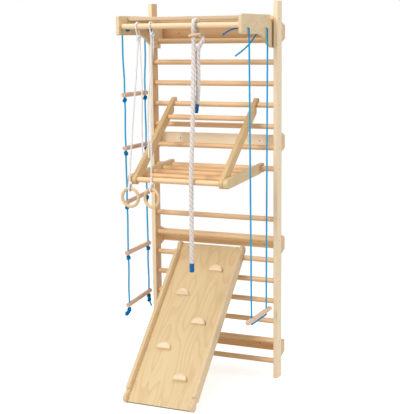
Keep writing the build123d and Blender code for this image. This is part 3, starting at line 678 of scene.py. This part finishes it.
def make_climbing_rope(materials):
    for name, route in (("climbing_rope_fall", climbing_fall), ("climbing_rope_tail", climbing_tail)):
        points = [place(*point) for point in route]
        line = smooth_line(points, climbing_step)
        piece = rope_piece(
            name, line, climbing_radius, three_strands, climbing_pitch, climbing_sides, twist=-1.0,
        )
        dress(piece, materials["cotton"])
        sleeve = rope_piece(
            name.replace("rope", "whipping"), line, climbing_radius + whipping_thickness, wound_strands,
            climbing_pitch, climbing_sides, twist=-1.0,
            first=len(line) - round(whipping_length / climbing_step),
        )
        dress(sleeve, materials["whipping"])
        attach(piece, "hanging_rope")
        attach(sleeve, "hanging_rope")
        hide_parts("climbing_rope")
        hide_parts("rope_whippings")


# Cords of the gym rings: knotted loop over the bar, loop through the ring and a loose tail

ring_strand_reach = 0.0049
ring_cord_pitch = 0.024
ring_cord_step = 0.0022
ring_cord_sides = 15
ring_knot_strand = 0.0048
bar_knot_size = 0.0155
ring_knot_size = 0.0145
ring_top = 1153
bar_y = -408
loop_reach = 19.8
loop_top = 2047.8
loop_sides = 2020
ring_loop_reach = 13.3
ring_knot_height = 27
ring_cords = (
    ("left", (-255, 1966, -232, -279, -486.4, 0)),
    ("right", (-173, 1984, -194, -155, -471.8, -13.5)),
)


def ring_cord_route(bar_x, knot_z, tail_x, ring_x, ring_y, turn):
    """From the loose tail over the bar and down to the ring, which is turned about its cord."""
    back_x = -math.sin(math.radians(turn))
    back_y = math.cos(math.radians(turn))

    def near(offset, height):
        return (ring_x + offset * back_x, ring_y + offset * back_y, ring_top + height)

    knot_x = bar_x + 6
    behind, ahead = bar_y + loop_reach, bar_y - loop_reach
    route = [
        (tail_x, -422, 1317), (tail_x - 3, -421, 1480), (tail_x + 4, -418, 1700), (knot_x + 6, -405, 1900),
        (knot_x + 3, -404, knot_z - 8), (bar_x, behind, loop_sides), (bar_x, behind, loop_top),
        (bar_x, ahead, loop_top), (bar_x, ahead, loop_sides), (knot_x - 3, -412, knot_z - 8),
        (knot_x - 4, -414, knot_z - 60), (ring_x, ring_y, 1262), (ring_x, ring_y, 1211),
        near(-5, ring_knot_height), near(-ring_loop_reach, 4), near(-ring_loop_reach, -ring_loop_reach),
        near(ring_loop_reach, -ring_loop_reach), near(ring_loop_reach, 4), near(5, ring_knot_height),
    ]
    return route, (knot_x, bar_y, knot_z), near(0, ring_knot_height)


def make_ring_cords(materials):
    for side, values in ring_cords:
        route, bar_knot, ring_knot = ring_cord_route(*values)
        points = [place(*point) for point in route]
        line = smooth_line(points, ring_cord_step)
        piece = rope_piece(
            f"ring_rope_{side}", line, ring_strand_reach, three_strands, ring_cord_pitch, ring_cord_sides,
        )
        dress(piece, materials["white"])
        upper = knot_piece("upper", place(*bar_knot), upright, bar_knot_size, ring_knot_strand, 0.4)
        lower = knot_piece("lower", place(*ring_knot), upright, ring_knot_size, ring_knot_strand, 1.1)
        knots = join(f"ring_knots_{side}", [upper, lower])
        dress(knots, materials["white"])
        for made in (piece, knots):
            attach(made, f"{side}_cord")
            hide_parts(f"ring_cord_{side}")


# Thin blue rope: ladder on the left, trapeze on the right

thin_radius = 0.0045
thin_pitch = 0.02
thin_step = 0.0022
thin_sides = 16
plate_x = 339.7
rope_x = 375
hole_height = 2012
turn_height = 2000
bend_height = 1952
settled_height = 1680
front_hole = -362
rear_hole = -91
front_rung_hole = -349.5
rear_rung_hole = -103.5
tie_size = 0.0138
tie_strand = 0.0047
tie_squeeze = 1.2
tie_turn = 0.9
end_lean = (0.7, 0, 1)
end_turn = 0.3
ladder_stop_x = -338
ladder_stop_size = 0.0125
ladder_stop_strand = 0.0045
trapeze_stop_size = 0.0105
trapeze_stop_strand = 0.0037
stop_turn = 0.5
ladder_slack = (
    (-2, -2, 1850), (1, 2, 1740), (0, 0, 1680), (0, 0, 1620), (3, -2, 1568), (-3, 2, 1448), (0, 0, 1383),
    (0, 0, 1323), (-3, 3, 1268), (3, -2, 1147), (0, 0, 1086), (0, 0, 1026), (4, -3, 966), (-2, 4, 855),
    (0, 0, 789), (0, 0, 729), (5, -4, 672), (-3, 2, 556), (0, 0, 492), (0, 0, 434),
)


def ladder_route(hole_y, rung_y, sway, ends):
    """From the plate's hole to the holes of the rungs; between them the rope is a little slack."""
    fall = hole_height - settled_height
    share = (hole_height - bend_height) / fall
    route = [
        (-plate_x, hole_y, hole_height), (-rope_x, hole_y, hole_height), (-rope_x, hole_y, turn_height),
        (-rope_x, hole_y + share * (rung_y - hole_y), bend_height),
    ]
    for x, y, z in ladder_slack:
        near = min(1.0, (hole_height - z) / fall)
        route.append((-rope_x + sway * x, hole_y + near * (rung_y - hole_y) + sway * y, z))
    return route + list(ends)


front_end = ((-377, -351, 420), (-382, -352, 410), (-389, -353, 400), (-398, -353, 389))
end_knots = ((-382, -352, 413), (-390, -353, 399))
rear_end = ((-374, -103, 420), (-368, -100, 404), (-362, -98, 386))
ladder_front = ladder_route(front_hole, front_rung_hole, 1, front_end)
ladder_rear = ladder_route(rear_hole, rear_rung_hole, -1, rear_end)
front_knots = (1625, 1328, 1021, 730, 426)
rear_knots = (1625, 1328, 1041, 738, 448, 424)
trapeze_loop = [
    (plate_x, front_hole, hole_height), (rope_x, front_hole, hole_height), (rope_x, front_hole, turn_height),
    (rope_x, -361.4, bend_height), (rope_x, -340.2, 480), (rope_x, -339.3, 420), (rope_x, -339.2, 412),
    (rope_x, -328, 412), (rope_x, -125, 412), (rope_x, -113.8, 412), (rope_x, -113.7, 420),
    (rope_x, -112.8, 480), (rope_x, -91.6, bend_height), (rope_x, rear_hole, turn_height),
    (rope_x, rear_hole, hole_height), (plate_x, rear_hole, hole_height),
]
front_tail = [
    (plate_x, front_hole, hole_height), (316, front_hole, 2012), (284, front_hole, 2008),
    (250, front_hole, 1994), (224, front_hole, 1977),
]
rear_tail = [
    (plate_x, rear_hole, hole_height), (328, rear_hole, 2003), (316, rear_hole, 1986), (272, rear_hole, 1928),
    (230, rear_hole, 1892), (185, rear_hole, 1861),
]


def thin_rope(name, route, material):
    line = smooth_line([place(*point) for point in route], thin_step)
    piece = rope_piece(name, line, thin_radius, braid, thin_pitch, thin_sides, twist=0.0)
    dress(piece, material)
    return piece, line


def make_ladder_ropes(materials):
    for side, route, rung_y, heights in (
        ("front", ladder_front, front_rung_hole, front_knots),
        ("rear", ladder_rear, rear_rung_hole, rear_knots),
    ):
        y = route[0][1]
        piece, line = thin_rope(f"ladder_rope_{side}", route, materials["blue"])
        tied = []
        for number, height in enumerate(heights):
            centre = place(-rope_x, rung_y, height)
            tied.append(knot_piece(
                f"tie_{number}", centre, upright, tie_size, tie_strand, tie_turn * number, tie_squeeze,
            ))
        if side == "front":
            for number, spot in enumerate(end_knots):
                tied.append(knot_piece(
                    f"tie_end_{number}", place(*spot), end_lean, tie_size, tie_strand, end_turn + number,
                ))
        knots = join(f"ladder_knots_{side}", tied)
        stop = knot_piece(
            f"ladder_stop_{side}", place(ladder_stop_x, y, hole_height), across_wall, ladder_stop_size,
            ladder_stop_strand, stop_turn,
        )
        for made in (knots, stop):
            dress(made, materials["shaded_blue"])
        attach(knots, "rope_ladder")
        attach(stop, "wall_frame")
        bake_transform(piece)
        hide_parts("ladder_ropes", "bracket_rope_ends")
        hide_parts("ladder_ropes")
        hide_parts("bracket_rope_ends")


def make_trapeze(materials):
    piece, line = thin_rope("trapeze_loop", trapeze_loop, materials["blue"])
    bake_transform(piece)
    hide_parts("trapeze_rope", "bracket_rope_ends")
    for side, y in (("front", front_hole), ("rear", rear_hole)):
        stop = knot_piece(
            f"trapeze_stop_{side}", place(plate_x, y, hole_height), across_wall, trapeze_stop_size,
            trapeze_stop_strand, stop_turn,
        )
        dress(stop, materials["blue"])
        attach(stop, "wall_frame")
        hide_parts("bracket_rope_ends")
    # The front tail takes the darker blue copy: painted shade
    for name, route, look in (("tail_front", front_tail, "shaded_blue"), ("tail_rear", rear_tail, "blue")):
        tail, line = thin_rope(name, route, materials[look])
        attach(tail, "wall_frame")
        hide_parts("bracket_rope_ends")


# Floor, backdrop and light

floor_half_size = 4.0
floor_below = 0.0004
floor_grey = 0.8
floor_lift = 0.62
floor_solid = 1.4
floor_end = 3.2


def make_stage():
    """A floor that keeps the shadow and fades into the white world round it."""
    half = floor_half_size
    corners = [(-half, -half), (half, -half), (half, half), (-half, half)]
    mesh = bpy.data.meshes.new("floor")
    mesh.from_pydata([(x, y, -floor_below) for x, y in corners], [], [(0, 1, 2, 3)])
    floor = bpy.data.objects.new("floor", mesh)
    scene.collection.objects.link(floor)
    material, tree = new_material("floor")
    rays = add(tree, "ShaderNodeLightPath", {}).outputs
    seen = math_node(tree, "MAXIMUM", rays["Is Camera Ray"], rays["Is Glossy Ray"])
    lift = math_node(tree, "MULTIPLY", seen, floor_lift)
    matt = add(tree, "ShaderNodeBsdfDiffuse", {"Color": (floor_grey, floor_grey, floor_grey, 1)})
    glow = add(tree, "ShaderNodeEmission", {"Color": (1, 1, 1, 1), "Strength": lift})
    both = add(tree, "ShaderNodeAddShader", {0: matt.outputs[0], 1: glow.outputs[0]})
    where = add(tree, "ShaderNodeTexCoord", {}).outputs["Object"]
    away = add(tree, "ShaderNodeVectorMath", {0: where}, operation="LENGTH").outputs["Value"]
    fade = add(tree, "ShaderNodeMapRange", {0: away, 1: floor_solid, 2: floor_end}).outputs[0]
    clear = add(tree, "ShaderNodeBsdfTransparent", {})
    faded = add(tree, "ShaderNodeMixShader", {0: fade, 1: both.outputs[0], 2: clear.outputs[0]})
    out = add(tree, "ShaderNodeOutputMaterial", {})
    tree.links.new(faded.outputs[0], out.inputs["Surface"])
    floor.data.materials.append(material)


ambient = 0.48


def make_world():
    world = bpy.data.worlds.new("studio")
    world.use_nodes = True
    tree = world.node_tree
    tree.nodes.clear()
    rays = add(tree, "ShaderNodeLightPath", {}).outputs
    seen = math_node(tree, "MAXIMUM", rays["Is Camera Ray"], rays["Is Transmission Ray"])
    seen = math_node(tree, "MAXIMUM", seen, rays["Is Glossy Ray"])
    level = spread(tree, seen, ambient, 1.0)
    light = add(tree, "ShaderNodeBackground", {"Color": (1, 1, 1, 1), "Strength": level})
    out = add(tree, "ShaderNodeOutputWorld", {})
    tree.links.new(light.outputs[0], out.inputs["Surface"])
    scene.world = world


lamps = (
    ("key", (-1400, -4600, 4200), 2.0, 165.0),
    ("side", (5200, 300, 2400), 2.4, 75.0),
    ("top", (300, -900, 4800), 1.6, 35.0),
)
lamp_target = (0, -150, 1080)


def make_lamps():
    for name, spot, size, power in lamps:
        data = bpy.data.lights.new(name, "AREA")
        data.shape = "DISK"
        data.size = size
        data.energy = power
        lamp = bpy.data.objects.new(name, data)
        scene.collection.objects.link(lamp)
        lamp.location = place(*spot)
        aim = place(*lamp_target) - lamp.location
        lamp.rotation_euler = aim.to_track_quat("-Z", "Y").to_euler()


make_camera()
materials = make_materials()
dress_nodes(materials)
make_climbing_rope(materials)
make_ring_cords(materials)
make_ladder_ropes(materials)
make_trapeze(materials)
make_stage()
make_world()
make_lamps()
scene.view_settings.view_transform = "Standard"
